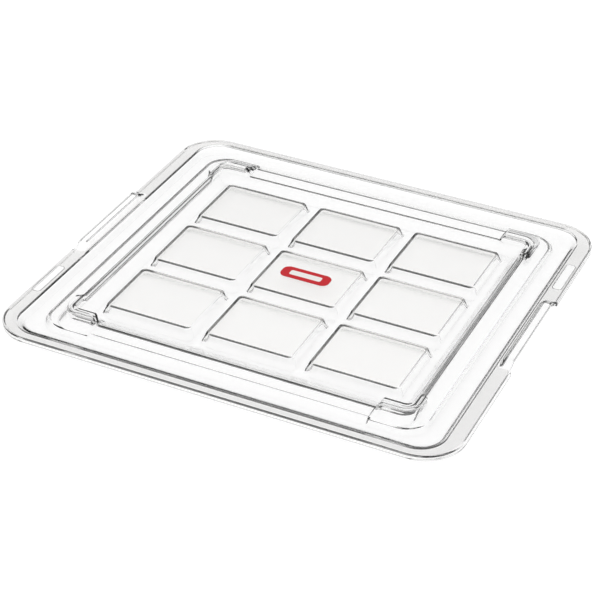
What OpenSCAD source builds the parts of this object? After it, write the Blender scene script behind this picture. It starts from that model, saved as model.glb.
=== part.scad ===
// Clear moulded lid for a 2/3-size food pan, with stacking lugs, stiffening pads and two
// lifting tabs.  Millimetres, +Z up.  Origin: centre of the lid, on the face that it rests on.

/* [Lid] */
// Overall length, along X
lid_l = 354; // [330:1:380]
// Overall width, along Y
lid_w = 325; // [300:1:350]
// Outer corner radius in plan
corner_r = 31; // [26:1:34]
// Thickness of the moulded sheet
sheet = 2.5; // [1.8:0.1:2.8]

/* [Rim] */
// Thickness of the skirt that hangs from the outer edge
skirt_t = 2; // [1.5:0.1:2.5]
// How far the skirt hangs below the flange face
skirt_drop = 4.5; // [3.5:0.1:5]
// Width of the flat flange on the two short sides
flange_end = 12.5; // [11.5:0.5:13.5]
// Width of the flat flange on the two long sides
flange_side = 7.4; // [6.5:0.1:8.5]
// Corner radius where the flange ends
step_r = 20; // [16:1:24]
// Run of the slope inside the flange, short sides
slope_end = 4.4; // [3.5:0.1:5.5]
// Run of the slope inside the flange, long sides
slope_side = 7.9; // [7:0.1:9]
// Depth of the seating groove below the flange face
groove_drop = 4; // [3.2:0.1:4.4]
// Width of the groove floor, short sides
groove_end = 11; // [9:0.5:12]
// Width of the groove floor, long sides
groove_side = 6.4; // [5:0.1:8]
// Run of the slope that leads up to the deck, short sides
deck_run_end = 1.6; // [1.2:0.1:2.4]
// Run of the slope that leads up to the deck, long sides
deck_run_side = 3.2; // [2.4:0.1:4]
// Depth of the deck below the flange face
deck_drop = 1; // [0.6:0.1:1.6]
// Corner radius of the deck
deck_r = 18; // [14:1:22]

/* [Field] */
// Height of the flange and the pads above the field floor
rise = 7; // [6:0.1:9]
// Distance between pad centres along X
pad_pitch_l = 81.1; // [79:0.1:84]
// Distance between pad centres along Y
pad_pitch_w = 71; // [69:0.5:73]
// Length of a pad top
pad_l = 68.6; // [60:0.1:70]
// Width of a pad top
pad_w = 55.6; // [50:0.1:57]
// Run of a pad's sloped sides
pad_run = 2.8; // [2:0.1:3.5]
// Corner radius at a pad's foot
pad_r = 6; // [4:0.5:8]
// Half length of the field at deck level
field_l = 131.4; // [129:0.1:133]
// Half width of the field at deck level
field_w = 117; // [115:0.1:118]
// Depth of the upright lip at the field's edge
field_lip = 1.4; // [0.8:0.1:2]
// Corner radius of the field at deck level
field_r = 5; // [3:0.5:8]
// Run of the slope from the deck to the field floor
field_run = 8; // [6:0.5:9]

/* [Stacking lugs] */
// Height of a lug above the flange face
lug_rise = 4.2; // [3:0.1:6]
// Width of a lug's leg on the long side
lug_leg_side = 6.8; // [6:0.1:8]
// Width of a lug's leg on the short side
lug_leg_end = 6.2; // [5.5:0.1:7.5]
// Half length between the lugs of a long side, at their tops
lug_gap_l = 112; // [106:1:116]
// Half length between the lugs of a short side, at their tops
lug_gap_w = 103; // [98:1:106]
// Run of a lug's end slope on the long side
lug_end_run = 3.6; // [2:0.1:5]
// Outer corner radius of a lug
lug_r = 12; // [9:1:14]
// Height of the lug's ledge above the flange face
ledge_rise = 1.8; // [1:0.1:2.4]
// Width of the lug's flat ledge
ledge = 3.4; // [2:0.1:4]
// Set-back of the lug's slope from the deck's edge
lug_set = 0.6; // [0.3:0.1:1]
// Height of the upright rib between two lugs, above the flange face
rib_rise = 3.5; // [2.5:0.1:5]
// Thickness of the upright rib
rib_t = 2.4; // [2:0.1:3]
// Depth of the long sides' low band below the flange face
band_drop = 1.8; // [1.6:0.1:2.2]
// Set-back of the low band's outer edge from the deck's
band_set = 3.7; // [2.5:0.1:5]
// How far the field's edge lies outside the lugs' inner faces, along the low band
band_edge = 3; // [1:0.1:4]

/* [Lifting tabs] */
// Length of a tab's raised top
tab_l = 80; // [70:1:90]
// Place of the tabs along Y
tab_y = 4.5; // [0:0.5:8]
// Height of a tab above the flange face
tab_rise = 3.8; // [3:0.1:5]
// Run of the ramp at each end of a tab
tab_ramp = 8; // [6:0.5:10]
// Set-back of a tab's outer edge from the flange's
tab_set = 1.5; // [1:0.1:2]
// Width of a tab's raised top
tab_w = 6.2; // [5:0.1:7]
// Run of the slope from a tab's top in to the flange
tab_run = 3.2; // [2.5:0.1:3.5]

/* [Marks] */
// Length of a blank name frame on the flange
frame_l = 38; // [30:1:42]
// Width of a name frame
frame_w = 8; // [6:0.5:8.5]
// Corner radius of a name frame
frame_r = 2.9; // [2:0.1:2.9]
// Width of a name frame's raised line
frame_line = 0.8; // [0.6:0.1:1.2]
// Height of a name frame's raised line
frame_h = 0.3; // [0.2:0.05:0.5]
// Distance of the name frames from the middle, along Y
frame_y = 88; // [82:1:100]
// Length of the label
label_l = 39.5; // [34:0.5:46]
// Width of the label
label_w = 14.5; // [12:0.5:18]
// Corner radius of the label
label_r = 5.5; // [3:0.5:6]
// Thickness of the label
label_t = 0.3; // [0.2:0.05:0.5]
// Place of the label from the middle of its pad, along X
label_x = -2; // [-8:0.5:8]
// Place of the label from the middle of its pad, along Y
label_y = 1; // [-6:0.5:6]

/* [Hidden] */
$fn = 48;

eps = 1;                        // overlap that keeps cuts and joints clean
below = -6;                     // start of the solids that the under skin trims
deeper = below - eps;

top_z = sheet + rise;           // flange face and pad tops
skirt_z = top_z - skirt_drop;
groove_z = top_z - groove_drop;
deck_z = top_z - deck_drop;
band_z = top_z - band_drop;
lug_z = top_z + lug_rise;
ledge_z = top_z + ledge_rise;
rib_z = top_z + rib_rise;
tab_z = top_z + tab_rise;

half_l = lid_l / 2;
half_w = lid_w / 2;
step_l = half_l - flange_end;
step_w = half_w - flange_side;
groove_l = step_l - slope_end;
groove_w = step_w - slope_side;
deck_foot_l = groove_l - groove_end;
deck_foot_w = groove_w - groove_side;
deck_l = deck_foot_l - deck_run_end;
deck_w = deck_foot_w - deck_run_side;
floor_l = field_l - field_run;
floor_w = field_w - field_run;
band_w = deck_w - band_set;
lug_l = field_l + lug_leg_end;
lug_w = field_w + lug_leg_side;

// Plan shape: a rectangle of half sizes a, b with corners of radius r
module rounded(a, b, r) {
    square([2 * a, 2 * (b - r)], center = true);
    square([2 * (a - r), 2 * b], center = true);
    for (x = [r - a, a - r], y = [r - b, b - r])
        translate([x, y]) circle(r);
}

// Upright block of that plan between two heights
module block(a, b, r, z0, z1) {
    translate([0, 0, z0]) linear_extrude(z1 - z0) rounded(a, b, r);
}

// Plain box between two corners
module box(low, high) {
    translate(low) cube(high - low);
}

// Box whose four sides lean in by run_x and run_y over its height, cut to a rounded plan
module tapered(a, b, r, run_x, run_y, z0, z1) {
    intersection() {
        rotate([90, 0, 0]) linear_extrude(2 * b + eps, center = true)
            polygon([[-a, z0], [a, z0], [a - run_x, z1], [run_x - a, z1]]);
        rotate([90, 0, 90]) linear_extrude(2 * a + eps, center = true)
            polygon([[-b, z0], [b, z0], [b - run_y, z1], [run_y - b, z1]]);
        block(a, b, r, z0, z1);
    }
}

// The same shape at all four corners of the lid
module four_corners() {
    for (x = [0, 1], y = [0, 1])
        mirror([x, 0, 0]) mirror([0, y, 0]) children();
}

// The same shape at both short ends
module both_ends() {
    for (x = [0, 1]) mirror([x, 0, 0]) children();
}

// Rim plate with the seating groove sunk inside it.  skin lowers every face,
// edge moves the outer face in
module rim(skin, edge, base) {
    difference() {
        union() {
            block(half_l - edge, half_w - edge, corner_r - edge, base, top_z - skin);
            block(groove_l + slope_end / 2, groove_w + slope_side / 2, step_r - slope_end / 2,
                  below - skin, skirt_z + eps - skin);
        }
        hull() {
            block(step_l, step_w, step_r, top_z - skin, top_z + eps);
            block(groove_l, groove_w, step_r - slope_end, groove_z - skin, top_z);
        }
    }
}

// Deck that rises inside the groove
module deck(skin) {
    hull() {
        block(deck_foot_l, deck_foot_w, deck_r, below - skin, groove_z - skin);
        block(deck_l, deck_w, deck_r, groove_z - skin, deck_z - skin);
    }
}

// Slope-sided hollow that holds the pads, upright from its lip to above the lugs
module field(skin) {
    lip_z = deck_z - field_lip - skin;
    hull() {
        block(field_l + skin, field_w + skin, field_r + skin, lip_z, lug_z + eps);
        block(floor_l, floor_w, field_r, sheet - skin, lip_z);
    }
}

// What is cut away between the lugs of a long side: a ramp, the low band and the field's edge
module between_lugs(skin) {
    low = lug_gap_l - lug_end_run - skin;
    high = lug_gap_l - skin;
    band_in = field_w + band_edge;
    intersection() {
        rotate([90, 0, 90]) linear_extrude(lid_l, center = true)
            polygon([[deck_foot_w, groove_z - skin], [band_w, band_z - skin],
                     [band_in + skin, band_z - skin], [band_in + skin, band_z - field_lip - skin],
                     [floor_w, sheet - skin], [0, sheet - skin],
                     [0, lug_z + eps], [deck_foot_w, lug_z + eps]]);
        rotate([90, 0, 0]) linear_extrude(lid_w, center = true)
            polygon([[-low, below], [low, below], [low, band_z - skin], [high, lug_z - skin],
                     [high, lug_z + 2 * eps], [-high, lug_z + 2 * eps], [-high, lug_z - skin],
                     [-low, band_z - skin]]);
    }
}

// Nine stiffening pads
module pads(skin) {
    foot = sheet - skin - eps;
    spread = pad_run * (rise + eps) / rise;
    for (i = [-1:1], j = [-1:1])
        translate([i * pad_pitch_l, j * pad_pitch_w])
            tapered(pad_l / 2 + spread - skin, pad_w / 2 + spread - skin, pad_r - skin / 2,
                    spread, spread, foot, top_z - skin);
}

// Limits of one lug in plan: the block between its two leg ends, with the sloped long-side end
module lug_reach(skin) {
    rotate([90, 0, 0]) mirror([0, 0, 1]) linear_extrude(half_w)
        polygon([[lug_gap_l - lug_end_run + skin, band_z - skin],
                 [lug_gap_l + skin, lug_z - skin],
                 [half_l, lug_z - skin],
                 [half_l, groove_z - skin],
                 [lug_gap_l - lug_end_run + skin, groove_z - skin]]);
}

// One corner's stacking lug: a crest round the corner, and a ledge and a slope on its long side
module lug(skin) {
    inset = lug_set + skin / 2;
    slope_w = deck_w - lug_w - ledge - lug_set;
    intersection() {
        lug_reach(skin);
        box([0, lug_gap_w + skin, groove_z - skin], [half_l, half_w, lug_z + eps]);
        union() {
            tapered(lug_l + lug_set - skin, deck_w - inset, lug_r - skin, lug_set, slope_w,
                    deck_z - skin, ledge_z - skin);
            block(lug_l - skin, lug_w - skin, lug_r - skin, groove_z - skin, lug_z - skin);
        }
    }
}

// Upright ribs that join the lugs of each short side
module ribs() {
    both_ends()
        box([field_l, -lug_gap_w - eps, deck_z - eps], [field_l + rib_t, lug_gap_w + eps, rib_z]);
}

// Shape below a lifting tab's face, open at the outer edge
module tab(skin, out, base) {
    foot_y = tab_l / 2 + tab_ramp;
    inner = half_l - tab_set - tab_w;
    both_ends() intersection() {
        translate([0, tab_y, 0]) rotate([90, 0, 90]) linear_extrude(half_l + out)
            polygon([[-foot_y, base], [foot_y, base], [foot_y, top_z - skin],
                     [tab_l / 2, tab_z - skin], [-tab_l / 2, tab_z - skin],
                     [-foot_y, top_z - skin]]);
        translate([0, tab_y, 0]) rotate([90, 0, 0]) linear_extrude(2 * foot_y + eps, center = true)
            polygon([[inner - tab_run, base], [half_l + out, base], [half_l + out, tab_z - skin],
                     [inner, tab_z - skin], [inner - tab_run, top_z - skin]]);
    }
}

// Strip that is cut off the outer edge along each tab
module tab_notch() {
    foot_y = tab_l / 2 + tab_ramp;
    both_ends()
        box([half_l - tab_set, tab_y - foot_y, deeper], [half_l + eps, tab_y + foot_y, tab_z + eps]);
}

// Blank frames on the flange, one at each short end
module name_frames() {
    for (turn = [0, 180]) rotate(turn)
        translate([half_l - flange_end / 2, frame_y, top_z - frame_h]) linear_extrude(2 * frame_h)
            difference() {
                rounded(frame_w / 2, frame_l / 2, frame_r);
                rounded(frame_w / 2 - frame_line, frame_l / 2 - frame_line,
                        frame_r - frame_line);
            }
}

// All that lies under the lid's upper skin (skin = 0) or its lower skin (skin = sheet)
module under_skin(skin, edge, base) {
    difference() {
        union() {
            rim(skin, edge, base);
            deck(skin);
            four_corners() lug(skin);
        }
        field(skin);
        for (side = [0, 1]) mirror([0, side, 0]) between_lugs(skin);
    }
    pads(skin);
}

module lid_shell() {
    color([0.86, 0.9, 0.91, 0.45]) {
        difference() {
            union() {
                under_skin(0, 0, skirt_z);
                ribs();
                tab(0, 0, skirt_z);
                name_frames();
            }
            under_skin(sheet, skirt_t, deeper);
            tab(sheet, eps, deeper);
            tab_notch();
        }
    }
}

// Printed label on the middle pad
module label() {
    color([0.85, 0.11, 0.14])
        translate([label_x, label_y, top_z]) linear_extrude(label_t)
            rounded(label_l / 2, label_w / 2, label_r);
}

lid_shell();
label();
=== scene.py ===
"""Clear polycarbonate lid for a 2/3-size food pan: one moulded sheet with a seating groove,
corner stacking lugs, upright ribs, nine stiffening pads and two lifting tabs, and one label.

The sheet is built as loops: rounded rectangles of the same number of points, laid one inside
the other from the underside of the field, out round the skirt and back in over the top.
"""

import math

import bpy
import numpy as np
from mathutils import Matrix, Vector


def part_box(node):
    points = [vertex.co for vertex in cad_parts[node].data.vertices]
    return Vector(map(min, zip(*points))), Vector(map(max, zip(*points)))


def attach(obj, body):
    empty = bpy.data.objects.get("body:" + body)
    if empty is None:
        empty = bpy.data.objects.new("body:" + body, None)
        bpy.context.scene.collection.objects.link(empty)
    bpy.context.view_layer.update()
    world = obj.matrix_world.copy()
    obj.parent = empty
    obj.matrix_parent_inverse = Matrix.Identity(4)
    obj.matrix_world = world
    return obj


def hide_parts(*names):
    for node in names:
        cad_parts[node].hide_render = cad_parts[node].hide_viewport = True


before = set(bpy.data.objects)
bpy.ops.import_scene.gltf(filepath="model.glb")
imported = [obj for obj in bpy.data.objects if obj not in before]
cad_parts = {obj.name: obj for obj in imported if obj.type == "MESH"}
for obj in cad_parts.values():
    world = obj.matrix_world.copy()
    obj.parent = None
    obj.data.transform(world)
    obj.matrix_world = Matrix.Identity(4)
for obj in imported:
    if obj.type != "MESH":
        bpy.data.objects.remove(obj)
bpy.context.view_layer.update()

MM = 0.001

# ---------------------------------------------------------------- sizes of the lid, in mm
low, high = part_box("lid_shell")
HALF_L = high.x / MM
HALF_W = high.y / MM
SHEET = 2.5
RISE = 7.0
TOP = SHEET + RISE  # height of the flange and of the pad tops

PAD_PITCH = np.array([81.1, 71.0])
PAD_HALF = np.array([34.3, 27.8])  # half sizes of a pad's top
PAD_RUN = 2.8  # run of a pad's sloped sides
PAD_FOOT_R, PAD_TOP_R = 6.0, 3.6  # corner radii at a pad's foot and top
CELL = PAD_PITCH / 2  # where one pad's share of the floor meets the next
BLOCK = np.array([121.0, 106.6])  # half sizes of the flat floor that carries the pads

LUG_END = (108.4, 112.0)  # foot and head of a lug's end slope, along X
LEG_END = 103.0  # end of a lug's short leg, along Y
TAB_Y = 4.5  # middle of both tabs, along Y
TAB_HALF = 40.0
TAB_RAMP = 8.0  # run of the slope at each end of a tab
TAB_RISE = 3.8
TAB_SET = 1.5  # how far a tab's edge stands back from the flange's
SKIRT = 4.5  # how far the skirt hangs below the flange
GROOVE = 4.0  # depth of the seating groove below the flange
CORNER_R = 31.0

NAME_IN = 6.25  # from the lid's edge in to the middle of a bare name place
NAME_Y = 88.0
NAME_HALF = np.array([4.0, 19.0])
NAME_LINE = 0.6  # from the raised line's outer edge in to the bare place

FINE_PADS, FINE_FLANGE = 1.0, -1.0  # marks of the two satin finishes on the mesh


def ramp(at, start, end, soft):
    """Rises from 0 to 1 between start and end: a straight line whose two corners are rounded by
    parabolas of half width soft."""

    def knee(s):
        return np.where(s > soft, s, np.where(s < -soft, 0.0, (s + soft) ** 2 / (4 * soft)))

    at = np.asarray(at, float)
    return (knee(at - start) - knee(at - end)) / (end - start)


# ---------------------------------------------------------------- places of the mesh lines
ARC = 8  # steps on half a corner of the lid
PAD_ARC = 5  # steps on half a corner of a pad, at its inner sides


def side_lines(inner_low, inner_high, block_half, first):
    """Lines that cross one side of the lid. Returns their places on the rim, their places on the
    pads' floor, and the corner share f of each, which is 0 on the straight run and reaches -1
    or 1 at the corners."""
    rim = np.concatenate([np.zeros(ARC + 1), inner_low[0], inner_high[0], np.zeros(ARC + 1)])
    corner = first + (block_half - first) * np.linspace(0, 1, ARC + 1)
    floor = np.concatenate([-corner[::-1], inner_low[1], inner_high[1], corner])
    share = np.zeros(len(rim))
    share[: ARC + 1] = np.linspace(-1, 0, ARC + 1)
    share[-ARC - 1 :] = np.linspace(0, 1, ARC + 1)
    rim[: ARC + 1] = -1e3
    rim[-ARC - 1 :] = 1e3
    return rim, floor, share


pad_zone = np.linspace(-1, 1, 2 * PAD_ARC + 1)
lug_lines = np.array([105.0, 107.2, 107.9, 108.5, 109.1, 109.7, 110.3, 110.9, 111.5, 112.1,
                      112.8, 113.5])
leg_lines = np.array([96.4, 97.8, 98.9, 99.8, 100.7, 101.6, 102.4, 103.2, 104.1])
tab_lines = TAB_HALF + np.array([-2.5, -1.0, 0.2, 1.4, 2.8, 4.4, 6.0, 7.2, 8.3, 9.4, 11.0])

x_inner = np.concatenate([CELL[0] + 6 * pad_zone, lug_lines])
X_RIM, X_FLOOR, X_SHARE = side_lines((-x_inner[::-1],) * 2, (x_inner,) * 2, BLOCK[0], 114.4)

y_high = np.concatenate([CELL[1] + 5 * pad_zone, TAB_Y + tab_lines, leg_lines])
y_low_rim = np.concatenate([-leg_lines[::-1], TAB_Y - tab_lines[::-1]])
y_low_floor = np.concatenate([-leg_lines[::-1], -CELL[1] + 5 * pad_zone])
Y_RIM, Y_FLOOR, Y_SHARE = side_lines((y_low_rim, y_low_floor), (y_high, y_high), BLOCK[1], 104.8)


# ---------------------------------------------------------------- loops
def loop(a, b, r, xs, x_share, ys, y_share, zx, zy, centre=(0.0, 0.0)):
    """Rounded rectangle as one closed row of points, anticlockwise from the near left corner.
    A point on a straight run keeps its place along the side; one with a corner share f lies
    on the corner's arc, at 45 f degrees from the run. a may change along Y and b along X, and
    zx and zy give the height along the two kinds of side."""
    nx, ny = len(xs), len(ys)
    a, zy = np.broadcast_to(a, ny).astype(float), np.broadcast_to(zy, ny).astype(float)
    b, zx = np.broadcast_to(b, nx).astype(float), np.broadcast_to(zx, nx).astype(float)
    tx, ty = x_share * math.pi / 4, y_share * math.pi / 4
    run_x = np.clip(xs, -(a[0] - r), a[0] - r) + r * np.sin(tx)
    run_y = np.clip(ys, -(b[0] - r), b[0] - r) + r * np.sin(ty)
    out_x = a - r + r * np.cos(ty)
    out_y = b - r + r * np.cos(tx)
    near = np.stack([run_x, -out_y, zx], 1)[:-1]
    right = np.stack([out_x, run_y, zy], 1)[:-1]
    far = np.stack([run_x, out_y, zx], 1)[:0:-1]
    left = np.stack([-out_x, run_y, zy], 1)[:0:-1]
    points = np.concatenate([near, right, far, left])
    points[:, :2] += centre
    return points


def square_loop(xs, ys, z, centre=(0.0, 0.0)):
    """Sharp rectangle through the lines' own places, in the same order of points as loop."""
    near = np.stack([xs, np.full_like(xs, ys[0])], 1)[:-1]
    right = np.stack([np.full_like(ys, xs[-1]), ys], 1)[:-1]
    far = np.stack([xs, np.full_like(xs, ys[-1])], 1)[:0:-1]
    left = np.stack([np.full_like(ys, xs[0]), ys], 1)[:0:-1]
    flat = np.concatenate([near, right, far, left]) + centre
    return np.column_stack([flat, np.full(len(flat), z)])


ROUND_STEPS = 4  # faces across one rounding of the rim
LOOPS_EACH = ROUND_STEPS + 3  # loops that take the place of one softened loop


def soften(loops, cuts, steps=ROUND_STEPS, hold=0.4, reach=None):
    """Rounds the profile where it crosses each inner loop: the corner gives way to a parabola
    that touches both neighbouring faces at the cut's distance, with one more loop a little
    further out on each face so that the flats stay flat in the light. A cut is one number, or
    a column with a number for each point of its loop. reach is the largest share of a
    neighbouring face that each rounding may take."""
    loops = np.asarray(loops, float)
    out = [loops[:1]]
    t = np.linspace(0, 1, steps + 1)[:, None, None]
    for k in range(1, len(loops) - 1):
        most = 0.36 if reach is None else reach[k]
        p = loops[k]
        back, ahead = loops[k - 1] - p, loops[k + 1] - p
        n_back = np.linalg.norm(back, axis=1, keepdims=True)
        n_ahead = np.linalg.norm(ahead, axis=1, keepdims=True)
        start = p + back * np.minimum(cuts[k] / n_back, most)
        end = p + ahead * np.minimum(cuts[k] / n_ahead, most)
        before = p + back * np.minimum((cuts[k] + hold) / n_back, most + 0.1)
        after = p + ahead * np.minimum((cuts[k] + hold) / n_ahead, most + 0.1)
        out += [before[None], (1 - t) ** 2 * start + 2 * t * (1 - t) * p + t * t * end,
                after[None]]
    out.append(loops[-1:])
    return np.concatenate(out)


class Sheet:
    """Collects patches of one closed skin and welds them where their edges meet."""

    def __init__(self):
        self.points, self.faces, self.grain, self.count = [], [], [], 0

    def add(self, points, faces, grain):
        self.points.append(points.reshape(-1, 3))
        self.faces.append(faces + self.count)
        self.grain.append(np.broadcast_to(grain, points.shape[:-1]).reshape(-1))
        self.count += points.size // 3

    def loft(self, loops, grain=0.0):
        """Joins each loop to the next one with a closed band of four-sided faces."""
        k, u = loops.shape[:2]
        i = np.arange(k - 1)[:, None] * u
        j = np.arange(u)[None]
        after = (j + 1) % u
        quads = np.stack([i + j, i + after, i + u + after, i + u + j], -1)
        self.add(loops, quads.reshape(-1, 4), grain)

    def grid(self, xs, ys, z, face_up, grain=0.0):
        """Flat grid through the lines' places."""
        x, y = np.meshgrid(xs, ys)
        n = len(xs)
        i = (np.arange(len(ys) - 1)[:, None] * n + np.arange(n - 1)[None])[..., None]
        quads = i + (np.array([0, 1, n + 1, n]) if face_up else np.array([0, n, n + 1, 1]))
        self.add(np.stack([x, y, np.full_like(x, z)], -1), quads.reshape(-1, 4), grain)

    def mesh(self, name):
        """Welds equal points and drops faces that closed up."""
        points = np.concatenate(self.points)
        faces = np.concatenate(self.faces)
        grain = np.concatenate(self.grain)
        _, first, back = np.unique(np.round(points, 4), axis=0, return_index=True,
                                   return_inverse=True)
        faces = back.reshape(-1)[faces]
        faces = faces[(np.diff(np.sort(faces, 1), axis=1) > 0).all(1)]
        data = bpy.data.meshes.new(name)
        data.from_pydata((points[first] * MM).tolist(), [], faces.tolist())
        layer = data.attributes.new("grain", "FLOAT", "POINT")
        layer.data.foreach_set("value", grain[first].astype(np.float32))
        data.shade_smooth()
        return data


# ---------------------------------------------------------------- the rim's profile
# leg and leg_under are the share of a lug's short leg in the two faces, tab is the share of a
# tab's rise, notch of its set-back edge, and gap of its shorter skirt
lug_x = np.abs(X_RIM)
leg = ramp(np.abs(Y_RIM), LEG_END - 3.4, LEG_END + 0.5, 0.8)
leg_under = ramp(np.abs(Y_RIM), LEG_END - 5.4, LEG_END - 0.4, 1.0)
from_tab = np.abs(Y_RIM - TAB_Y) - TAB_HALF
tab = 1 - ramp(from_tab, 0.0, TAB_RAMP, 1.6)
notch = 1 - ramp(from_tab, TAB_RAMP - 0.4, TAB_RAMP + 1.4, 0.5)
gap = 1 - ramp(from_tab, TAB_RAMP + 0.2, TAB_RAMP + 1.0, 0.3)
edge_a = HALF_L - TAB_SET * notch  # half length of the lid, along the short sides

# heights from the flange's face
BAND = -1.8  # the low band between the lugs of a long side
DECK = -1.0
LEDGE = 1.8  # step on a lug's outer face
LUG = 4.2
RIB = 3.5


def lug_climb(top):
    """Share of the way from the low band up to a lug's face, along the lug's end slope."""
    foot, head = LUG_END
    reach = (head - foot) * (top - BAND) / (LUG - BAND)
    return ramp(lug_x, foot, foot + reach, min(0.9, reach / 2.4))


def between(low_value, high_value, share):
    return low_value + (high_value - low_value) * share


deck_up, ledge_up, crest_up = lug_climb(DECK), lug_climb(LEDGE), lug_climb(LUG)


def arc_blend(long_side, short_side):
    """Heights or cuts that differ on the two kinds of side, eased into each other round the
    corner."""
    middle = (long_side[-1] + short_side[-1]) / 2
    long_side = long_side + (middle - long_side) * np.abs(X_SHARE) ** 2
    short_side = short_side + (middle - short_side) * np.abs(Y_SHARE) ** 2
    return long_side, short_side


def rim_loop(a, b, r, zx, zy):
    """One loop of the rim, with heights given from the flange's face."""
    zx = np.broadcast_to(zx, len(X_RIM)) + TOP
    zy = np.broadcast_to(zy, len(Y_RIM)) + TOP
    return loop(a, b, r, X_RIM, X_SHARE, Y_RIM, Y_SHARE, zx, zy)


def rim_cut(on_short_sides, on_long_sides):
    """A rounding's cut at each point of a rim loop, eased from side to side round the corners."""
    cut_x, cut_y = arc_blend(np.full(len(X_RIM), on_long_sides),
                             np.full(len(Y_RIM), on_short_sides))
    return rim_loop(HALF_L, HALF_W, CORNER_R, cut_x, cut_y)[:, 2:] - TOP


def wall_height(share, foot, rib_top, lug_top):
    """Height on the wall of a short leg or of a rib, at a share of the way up."""
    return foot + share * (between(rib_top, lug_top, leg) - foot)


def upper_rim():
    """Loops of the upper face from the skirt's lower edge in to the floor: half length, half
    width, corner radius, heights along the long sides and the short ones, and the rounding."""
    z9 = arc_blend(between(BAND, LEDGE, ledge_up), wall_height(0.42, DECK, RIB, LUG))
    z10 = arc_blend(between(BAND, LEDGE, ledge_up), wall_height(0.58, DECK, RIB, LUG))
    crest_x = between(BAND, LUG, crest_up)
    crest_y = between(RIB, LUG, leg)
    return [
        (edge_a, HALF_W, CORNER_R, -SKIRT, -SKIRT + 1.2 * gap + TAB_RISE * tab, 0.3),
        (edge_a, HALF_W, CORNER_R, 0, TAB_RISE * tab, rim_cut(between(1.6, 0.35, tab), 0.9)),
        (169.3, 159.9, 27, 0, TAB_RISE * tab, 0.9),
        (166.1, 157.5, 23, 0, 0, 0.9),
        (164.5, 155.1, 20, 0, 0, 0.7),
        (163.2, 153.3, 19, -2.0, -2.0, rim_cut(1.3, 2.3)),
        (160.1, 147.2, 15.6, -GROOVE, -GROOVE, rim_cut(1.4, 2.3)),
        (149.1, 140.8, 18, -GROOVE, -GROOVE, 0.9),
        (147.6, between(133.8, 137.5, deck_up), 18, between(BAND, DECK, deck_up), DECK, 0.7),
        (between(133.95, 138.2, leg), between(133.0, 136.9, deck_up), 12,
         between(BAND, DECK, deck_up), DECK, 0.4),
        (between(133.87, 137.9, leg), 127.2, 12, *z9, 0.7),
        (between(133.84, 137.8, leg), 123.8, 12, *z10, 0.5),
        (between(133.7, 137.5, leg), between(122.8, 123.6, crest_up), 12, crest_x, crest_y, 0.8),
        (131.4, between(120.0, 117.0, crest_up), 5, crest_x, crest_y, 0.8),
        (131.3, between(119.9, 116.9, crest_up), 5, between(BAND - 1.7, -2.7, crest_up), -2.7,
         0.6),
        (123.4, 109, 4, -RISE, -RISE, 1.6),
        (121.9, 107.5, 2.6, -RISE, -RISE, 0.2),
    ]


def under_rim():
    """Loops of the lower face from the floor out to the skirt's lower edge, in the same terms.
    The skirt's lower edge slants round the corners and along the tabs, where its outer end is
    the lower one."""
    under = -SHEET
    ledge_x = between(BAND, LEDGE, ledge_up) + under
    crest_x = between(BAND, LUG, crest_up) + under
    crest_y = between(DECK, LUG, leg_under) + under
    z9 = arc_blend(ledge_x, between(DECK + under, -1.2, leg_under))
    z10 = arc_blend(ledge_x, between(DECK + under, -0.6, leg_under))
    slant_x, slant_y = (1.2 * np.abs(share) ** 0.5 for share in (X_SHARE, Y_SHARE))
    return [
        (122.2, 107.8, 2.6, -RISE + under, -RISE + under, 0.2),
        (124.1, 109.7, 4.5, -RISE + under, -RISE + under, 1.6),
        (133.8, between(122.4, 119.4, crest_up), 7.4, between(BAND - 3.5, -4.5, crest_up), -4.5,
         0.5),
        (133.9, between(122.5, 119.5, crest_up), 7.4, crest_x, crest_y, 0.4),
        (between(134.6, 135.2, leg_under), between(123.3, 121.4, crest_up), 9, crest_x, crest_y,
         0.4),
        (between(135.0, 135.5, leg_under), between(124.4, 121.6, crest_up), 10, *z10, 0.4),
        (between(135.6, 135.7, leg_under), 126.9, 10.5, *z9, 0.5),
        (136.2, between(132.6, 136.2, deck_up), 11, between(BAND, DECK, deck_up) + under,
         DECK + under, 0.3),
        (146.1, between(133.4, 136.7, deck_up), 17, between(BAND, DECK, deck_up) + under,
         DECK + under, 0.6),
        (147.7, 139.9, 17, -GROOVE + under, -GROOVE + under, 1.2),
        (161.0, 147.8, 16.4, -GROOVE + under, -GROOVE + under, rim_cut(0.8, 2.6)),
        (165.1, 155.4, 20.7, under, under, 0.45),
        (167.2, 158.2, 23.8, under, under, 0.3),
        (170.0, 159.2, 27.0, under, under + TAB_RISE * tab, 0.6),
        (edge_a - between(2.0, 1.4, tab), HALF_W - 2, 29, under, under + TAB_RISE * tab, 0.5),
        (edge_a - between(2.0, 1.3, tab), HALF_W - 2, 29, -SKIRT + slant_x,
         -SKIRT + 1.95 * gap + TAB_RISE * tab + slant_y, 0.3),
    ]


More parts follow.
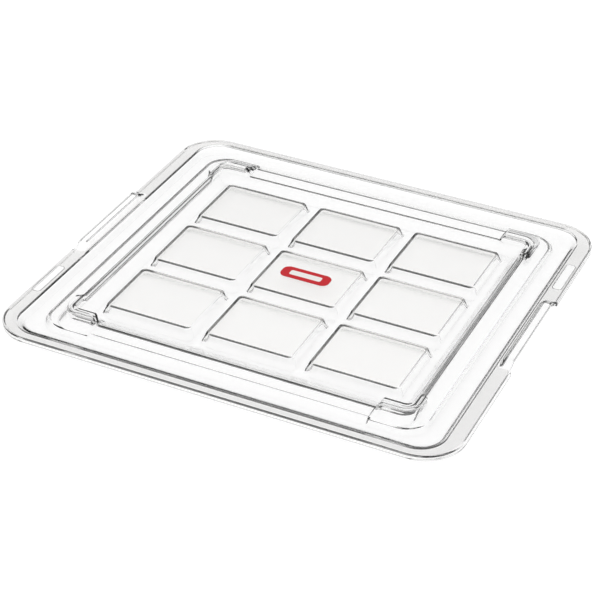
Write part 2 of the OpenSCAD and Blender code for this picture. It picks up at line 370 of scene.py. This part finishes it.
def moulded_sheet():
    """The whole lid as one closed skin: the rim's profile from the underside of the floor, out
    round the skirt and back over the top, then nine pads in the upper face and their nine
    hollows in the lower one."""
    sheet = Sheet()
    upper, under = upper_rim(), under_rim()
    rows = under + upper
    loops = [rim_loop(*row[:5]) for row in rows]
    loops = [square_loop(X_FLOOR, Y_FLOOR, 0.0)] + loops + [square_loop(X_FLOOR, Y_FLOOR, SHEET)]
    cuts = [0.2] + [row[5] for row in rows] + [0.2]
    skin = soften(loops, cuts)
    # rows 2 to 5 of the upper face, counted from 0, carry the flange and then slope down from it
    copies = [1] + [LOOPS_EACH] * len(rows) + [1]
    row_of = np.repeat(np.arange(len(loops)), copies)[:, None] - len(under)
    flange = (row_of >= 2) & (row_of <= 5) & (np.abs(skin[..., 2] - TOP) < 0.06)
    sheet.loft(skin, np.where(flange, FINE_FLANGE, 0.0))

    edges_x = np.searchsorted(X_FLOOR, [-BLOCK[0], -CELL[0], CELL[0], BLOCK[0]])
    edges_y = np.searchsorted(Y_FLOOR, [-BLOCK[1], -CELL[1], CELL[1], BLOCK[1]])
    for column in range(3):
        for row in range(3):
            pad(sheet, column, row, edges_x, edges_y)
    return sheet.mesh("moulded_sheet")


def cell_lines(floor, share, edges, place):
    """The lines of one pad's cell along one axis, and their corner shares within the cell."""
    start, end = edges[place], edges[place + 1]
    at = floor[start : end + 1]
    f = share[start : end + 1].copy()
    if place > 0:
        f[: PAD_ARC + 1] = np.linspace(-1, 0, PAD_ARC + 1)
    if place < 2:
        f[-PAD_ARC - 1 :] = np.linspace(0, 1, PAD_ARC + 1)
    return at, f


def pad(sheet, column, row, edges_x, edges_y):
    """One stiffening pad: a sloped wall round a flat top, once for each face of the sheet. On
    the straight runs, the lines are spread evenly between the two arcs of each loop."""
    xs, fx = cell_lines(X_FLOOR, X_SHARE, edges_x, column)
    ys, fy = cell_lines(Y_FLOOR, Y_SHARE, edges_y, row)
    centre = (np.array([column, row]) - 1) * PAD_PITCH

    def spread(at, share, half):
        straight = np.abs(share) < 1e-9
        ends = at[straight][[0, -1]]
        place = (at - ends[0]) / (ends[1] - ends[0]) * 2 - 1
        return np.clip(place, -1, 1) * half

    def ring(a, b, r, z):
        return loop(a, b, r, spread(xs, fx, a - r), fx, spread(ys, fy, b - r), fy, z, z,
                    centre)

    def top_lines(at, half, middle):
        return middle + (at - at[0]) / (at[-1] - at[0]) * 2 * half - half

    for thick, face_up in ((0.0, True), (SHEET, False)):
        drop = thick * 0.68  # sideways share of the sheet's thickness on a slope this steep
        a, b = PAD_HALF - drop
        base, crown = SHEET - thick, TOP - thick
        tops = top_lines(xs, a - 3.0, centre[0]), top_lines(ys, b - 3.0, centre[1])
        loops = [
            square_loop(xs, ys, base),
            ring(a + PAD_RUN, b + PAD_RUN, PAD_FOOT_R - drop, base),
            ring(a, b, PAD_TOP_R - drop * 0.4, crown),
            square_loop(*tops, crown),
        ]
        # the lower face has a generous foot, which bends light aside and draws each pad's edge
        cuts = [0, 4.0, 0.5, 0] if thick else [0, 1.2, 1.2, 0]
        loops = soften(loops, cuts, steps=5, reach=[0, 0.62, 0.26, 0])
        height = (loops[..., 2] - base) / RISE
        finish = FINE_PADS if face_up else 0.0
        sheet.loft(loops if face_up else loops[:, ::-1], np.where(height > 0.999, finish, 0.0))
        sheet.grid(*tops, crown, face_up, finish)


# ---------------------------------------------------------------- small pieces
def name_frame(turn):
    """Raised line round a bare place for a name, on the flange: a rounded rectangle's band,
    flat on top, with both edges rounded down to the flange."""
    sheet = Sheet()
    ends = np.linspace(-1, 1, 2 * ARC + 1)
    loops = []
    for inset, z in ((0.0, 0.005), (0.03, 0.2), (0.2, 0.3), (0.6, 0.3), (0.77, 0.2), (0.8, 0.005),
                     (0.0, 0.005)):
        a, b = NAME_HALF - inset
        loops.append(loop(a, b, 2.9 - inset, ends * 1e3, ends, ends * 1e3, ends, TOP + z, TOP + z))
    sheet.loft(np.array(loops) + np.array([HALF_L - NAME_IN, NAME_Y, 0.0]))
    data = sheet.mesh(f"name_frame_{'right' if turn > 0 else 'left'}")
    if turn < 0:
        data.transform(Matrix.Rotation(math.pi, 4, "Z"))
    return data


def label_film():
    """Printed label on the middle pad: a thin rounded film whose edge falls off softly, from
    the CAD label's own box."""
    low, high = (np.array(corner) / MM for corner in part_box("label"))
    centre = (low + high)[:2] / 2
    a, b = (high - low)[:2] / 2
    z0, z1 = low[2] + 0.01, high[2]
    sheet = Sheet()
    n = 12
    ends = np.concatenate([np.linspace(-1, 0, n + 1), np.linspace(0, 1, n + 1)])
    runs = np.concatenate([np.full(n + 1, -1e3), np.full(n + 1, 1e3)])
    lines = np.linspace(-1, 1, 2 * n + 2)
    inner = square_loop(lines * (a - 4), lines * (b - 4), z0)
    rows = [(a - 1.0, z0), (a - 0.1, z0), (a, z0 + 0.08), (a - 0.06, z1 - 0.07), (a - 0.3, z1),
            (a - 1.0, z1)]
    loops = [inner]
    for half, z in rows:
        inset = a - half
        loops.append(loop(half, b - inset, 5.5 - inset, runs, ends, runs, ends, z, z))
    top = inner.copy()
    top[:, 2] = z1
    loops.append(top)
    loops = np.array(loops) + np.array([*centre, 0.0])
    sheet.loft(loops)
    sheet.grid(centre[0] + lines * (a - 4), centre[1] + lines * (b - 4), z0, False)
    sheet.grid(centre[0] + lines * (a - 4), centre[1] + lines * (b - 4), z1, True)
    return sheet.mesh("label_film")


# ---------------------------------------------------------------- materials
def srgb(code):
    """Linear colour of an sRGB hex value."""
    parts = [int(code[i : i + 2], 16) / 255 for i in (1, 3, 5)]
    return [c / 12.92 if c <= 0.04045 else ((c + 0.055) / 1.055) ** 2.4 for c in parts] + [1.0]


def add(tree, kind, sockets=None, **settings):
    """Adds one node. settings are its own properties; sockets holds a value, or the output that
    feeds it, for each input by name or number."""
    node = tree.nodes.new(kind)
    for name, value in settings.items():
        setattr(node, name, value)
    for name, value in (sockets or {}).items():
        if isinstance(value, bpy.types.NodeSocket):
            tree.links.new(value, node.inputs[name])
        else:
            node.inputs[name].default_value = value
    return node


def new_material(name):
    material = bpy.data.materials.new(name)
    material.use_nodes = True
    material.node_tree.nodes.clear()
    return material, material.node_tree


def clear_polycarbonate():
    """Injection-moulded polycarbonate: a polished mould leaves it glass-clear with a slow
    waviness, and a spark-textured mould face leaves the pad tops and the flange satin."""
    material, tree = new_material("clear_polycarbonate_moulded")
    place = add(tree, "ShaderNodeTexCoord").outputs["Object"]
    grain = add(tree, "ShaderNodeAttribute", attribute_name="grain").outputs["Fac"]
    # spark texture has grit of about 0.1 mm; it is drawn at 0.5 mm so that it shows
    grit = add(tree, "ShaderNodeTexNoise", {"Vector": place, "Scale": 2000.0, "Detail": 2.0})
    waves = add(tree, "ShaderNodeTexNoise", {"Vector": place, "Scale": 28.0, "Detail": 1.0})
    apart = add(tree, "ShaderNodeSeparateXYZ", {0: place})
    # the name places are polished: how far a point lies outside the nearer one's rectangle
    side = add(tree, "ShaderNodeMath", {0: apart.outputs[0]}, operation="SIGN")
    along = add(tree, "ShaderNodeMath", {0: apart.outputs[1], 1: side.outputs[0],
                                         2: -NAME_Y * MM}, operation="MULTIPLY_ADD")
    across = add(tree, "ShaderNodeMath", {0: apart.outputs[0]}, operation="ABSOLUTE")
    across = add(tree, "ShaderNodeMath", {0: across.outputs[0], 1: (HALF_L - NAME_IN) * MM},
                 operation="SUBTRACT")
    beyond = [add(tree, "ShaderNodeMath", {
        0: add(tree, "ShaderNodeMath", {0: way.outputs[0]}, operation="ABSOLUTE").outputs[0],
        1: (half - NAME_LINE) * MM}, operation="SUBTRACT")
        for way, half in zip((across, along), NAME_HALF)]
    bare = add(tree, "ShaderNodeMath", {0: beyond[0].outputs[0], 1: beyond[1].outputs[0]},
               operation="MAXIMUM")
    bare = add(tree, "ShaderNodeMapRange", {0: bare.outputs[0], 1: 0.0, 2: 0.0004})
    grain = add(tree, "ShaderNodeMath", {0: grain, 1: bare.outputs[0]},
                operation="MULTIPLY").outputs[0]
    # how far each finish is present: 1 on the pad tops, 1 on the flange
    pads, flange = [add(tree, "ShaderNodeMapRange", {0: grain, 1: 0.0, 2: full}).outputs[0]
                    for full in (FINE_PADS, FINE_FLANGE)]
    rough = add(tree, "ShaderNodeMath", {0: pads, 1: 0.23, 2: 0.02}, operation="MULTIPLY_ADD")
    rough = add(tree, "ShaderNodeMath", {0: flange, 1: 0.13, 2: rough.outputs[0]},
                operation="MULTIPLY_ADD")
    tint = add(tree, "ShaderNodeMix", {0: pads, 6: srgb("#FDFDFD"), 7: srgb("#FDFCFA")},
               data_type="RGBA")
    tint = add(tree, "ShaderNodeMix", {0: flange, 6: tint.outputs[2], 7: srgb("#DCDBDA")},
               data_type="RGBA")
    shader = add(tree, "ShaderNodeBsdfPrincipled", {
        "Base Color": tint.outputs[2], "Roughness": rough.outputs[0], "IOR": 1.585,
        "Transmission Weight": 1.0})
    wavy = add(tree, "ShaderNodeBump", {"Height": waves.outputs[0], "Strength": 0.05,
                                        "Distance": 0.002})
    satin = add(tree, "ShaderNodeMath", {0: pads, 1: flange}, operation="ADD")
    gritty = add(tree, "ShaderNodeMath", {0: grit.outputs[0], 1: satin.outputs[0]},
                 operation="MULTIPLY")
    bump = add(tree, "ShaderNodeBump", {"Height": gritty.outputs[0], "Strength": 0.2,
                                        "Distance": 0.0001, "Normal": wavy.outputs[0]})
    tree.links.new(bump.outputs[0], shader.inputs["Normal"])
    depth = add(tree, "ShaderNodeVolumeAbsorption", {"Color": srgb("#CCCBC9"), "Density": 9.0})
    add(tree, "ShaderNodeOutputMaterial", {"Surface": shader.outputs[0],
                                           "Volume": depth.outputs[0]})
    return material


def printed_label(centre):
    """Polypropylene label film, screen-printed red, with a bare white strip to write on: inside
    the rounded rectangle of all points no further than a corner radius from an inner box."""
    material, tree = new_material("label_film_printed")
    place = add(tree, "ShaderNodeTexCoord").outputs["Object"]
    around = add(tree, "ShaderNodeVectorMath", {0: place, 1: centre}, operation="SUBTRACT")
    around = add(tree, "ShaderNodeVectorMath", {0: around.outputs[0]}, operation="ABSOLUTE")
    beyond = add(tree, "ShaderNodeVectorMath", {0: around.outputs[0], 1: (0.0112, 0.0014, 1.0)},
                 operation="SUBTRACT")
    beyond = add(tree, "ShaderNodeVectorMath", {0: beyond.outputs[0]}, operation="MAXIMUM")
    far = add(tree, "ShaderNodeVectorMath", {0: beyond.outputs[0]}, operation="LENGTH")
    strip = add(tree, "ShaderNodeMath", {0: far.outputs["Value"], 1: 0.0016},
                operation="SUBTRACT")
    # the screen's mesh leaves a slightly toothed edge; real teeth are 0.1 mm, drawn at 0.3 mm
    teeth = add(tree, "ShaderNodeTexNoise", {"Vector": place, "Scale": 3000.0})
    strip = add(tree, "ShaderNodeMath", {0: teeth.outputs[0], 1: 0.0003, 2: strip.outputs[0]},
                operation="MULTIPLY_ADD")
    inked = add(tree, "ShaderNodeMapRange", {0: strip.outputs[0], 1: 0.0, 2: 0.0003})
    patches = add(tree, "ShaderNodeTexNoise", {"Vector": place, "Scale": 220.0})
    ink = add(tree, "ShaderNodeMix", {0: patches.outputs[0], 6: srgb("#C3121E"),
                                      7: srgb("#CF1B27")}, data_type="RGBA")
    colour = add(tree, "ShaderNodeMix", {0: inked.outputs[0], 6: srgb("#F4F1EE"),
                                         7: ink.outputs[2]}, data_type="RGBA")
    sheen = add(tree, "ShaderNodeMapRange", {0: inked.outputs[0], 3: 0.55, 4: 0.38})
    shader = add(tree, "ShaderNodeBsdfPrincipled", {
        "Base Color": colour.outputs[2], "Roughness": sheen.outputs[0], "IOR": 1.49,
        "Specular IOR Level": 0.2})
    add(tree, "ShaderNodeOutputMaterial", {"Surface": shader.outputs[0]})
    return material


# ---------------------------------------------------------------- pieces
def place_piece(data, material, slot, *nodes):
    """Makes the object of a mesh, gives it the material, rides it on the lid and hides its CAD
    nodes. slot, the name of its finish, is not used.
    """
    piece = bpy.data.objects.new(data.name, data)
    bpy.context.scene.collection.objects.link(piece)
    data.materials.append(material)
    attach(piece, "root")
    if nodes:
        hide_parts(*nodes)
    return piece


clear = clear_polycarbonate()
place_piece(moulded_sheet(), clear, "clear_polycarbonate", "lid_shell")
place_piece(name_frame(1), clear, "clear_polycarbonate")
place_piece(name_frame(-1), clear, "clear_polycarbonate")
label_low, label_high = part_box("label")
label_centre = ((label_low.x + label_high.x) / 2, (label_low.y + label_high.y) / 2, 0.0)
place_piece(label_film(), printed_label(label_centre), "red_label", "label")


# ---------------------------------------------------------------- floor, light and camera
def seen_directly(tree, with_others):
    """1 for what the camera sees straight, and also in glass and gloss if with_others."""
    path = add(tree, "ShaderNodeLightPath")
    if not with_others:
        return path.outputs["Is Camera Ray"]
    total = add(tree, "ShaderNodeMath", {0: path.outputs["Is Camera Ray"],
                                         1: path.outputs["Is Glossy Ray"]}, operation="ADD")
    total = add(tree, "ShaderNodeMath", {0: total.outputs[0],
                                         1: path.outputs["Is Transmission Ray"]},
                operation="ADD", use_clamp=True)
    return total.outputs[0]


def table_top():
    """Round white table top under the lid: it takes the lid's shadow, and shows white to the
    camera and through the clear sheet."""
    t = np.linspace(0, 2 * math.pi, 97)[:-1]
    rim = np.stack([0.9 * np.cos(t), 0.9 * np.sin(t), np.full_like(t, -0.0004)], 1)
    data = bpy.data.meshes.new("table_top")
    data.from_pydata(rim.tolist(), [], [list(range(len(rim)))])
    floor = bpy.data.objects.new("table_top", data)
    bpy.context.scene.collection.objects.link(floor)
    material, tree = new_material("table_top_white")
    paper = add(tree, "ShaderNodeBsdfDiffuse", {"Color": srgb("#9A9A9A")})
    glow = add(tree, "ShaderNodeEmission", {"Color": (0.83, 0.83, 0.83, 1),
                                            "Strength": seen_directly(tree, True)})
    both = add(tree, "ShaderNodeAddShader", {0: paper.outputs[0], 1: glow.outputs[0]})
    add(tree, "ShaderNodeOutputMaterial", {"Surface": both.outputs[0]})
    data.materials.append(material)


def studio():
    """Soft light from above that falls off towards the horizon, on a white background."""
    world = bpy.data.worlds.new("studio")
    bpy.context.scene.world = world
    world.use_nodes = True
    tree = world.node_tree
    tree.nodes.clear()
    way = add(tree, "ShaderNodeTexCoord").outputs["Generated"]
    height = add(tree, "ShaderNodeSeparateXYZ", {0: way}).outputs[2]
    share = add(tree, "ShaderNodeMapRange", {0: height, 1: -1.0, 2: 1.0, 3: 0.0, 4: 1.0})
    ramp_node = add(tree, "ShaderNodeValToRGB", {0: share.outputs[0]})
    stops = ((0.0, 0.2), (0.49, 0.02), (0.55, 0.02), (0.66, 0.5), (0.75, 1.0), (1.0, 1.1))
    bar = ramp_node.color_ramp.elements
    bar[0].position, bar[1].position = stops[0][0], stops[-1][0]
    for position, value in stops[1:-1]:
        bar.new(position)
    for element, (position, value) in zip(bar, stops):
        element.color = (value, value, value, 1.0)
    light = add(tree, "ShaderNodeBackground", {0: ramp_node.outputs[0], 1: 1.0})
    white = add(tree, "ShaderNodeBackground", {0: (1, 1, 1, 1), 1: 1.0})
    pick = add(tree, "ShaderNodeMixShader", {0: seen_directly(tree, False), 1: light.outputs[0],
                                             2: white.outputs[0]})
    add(tree, "ShaderNodeOutputWorld", {0: pick.outputs[0]})


def camera():
    """Long lens above the near right corner."""
    lens = bpy.data.cameras.new("camera")
    lens.sensor_width = 36.0
    lens.lens = 111.24
    lens.clip_end = 20.0
    view = bpy.data.objects.new("camera", lens)
    bpy.context.scene.collection.objects.link(view)
    view.location = (0.4786, -1.0589, 0.7539)
    view.rotation_euler = [math.radians(a) for a in (56.650, -1.112, 25.315)]
    bpy.context.scene.camera = view


table_top()
studio()
camera()
bpy.context.scene.view_settings.view_transform = "Standard"
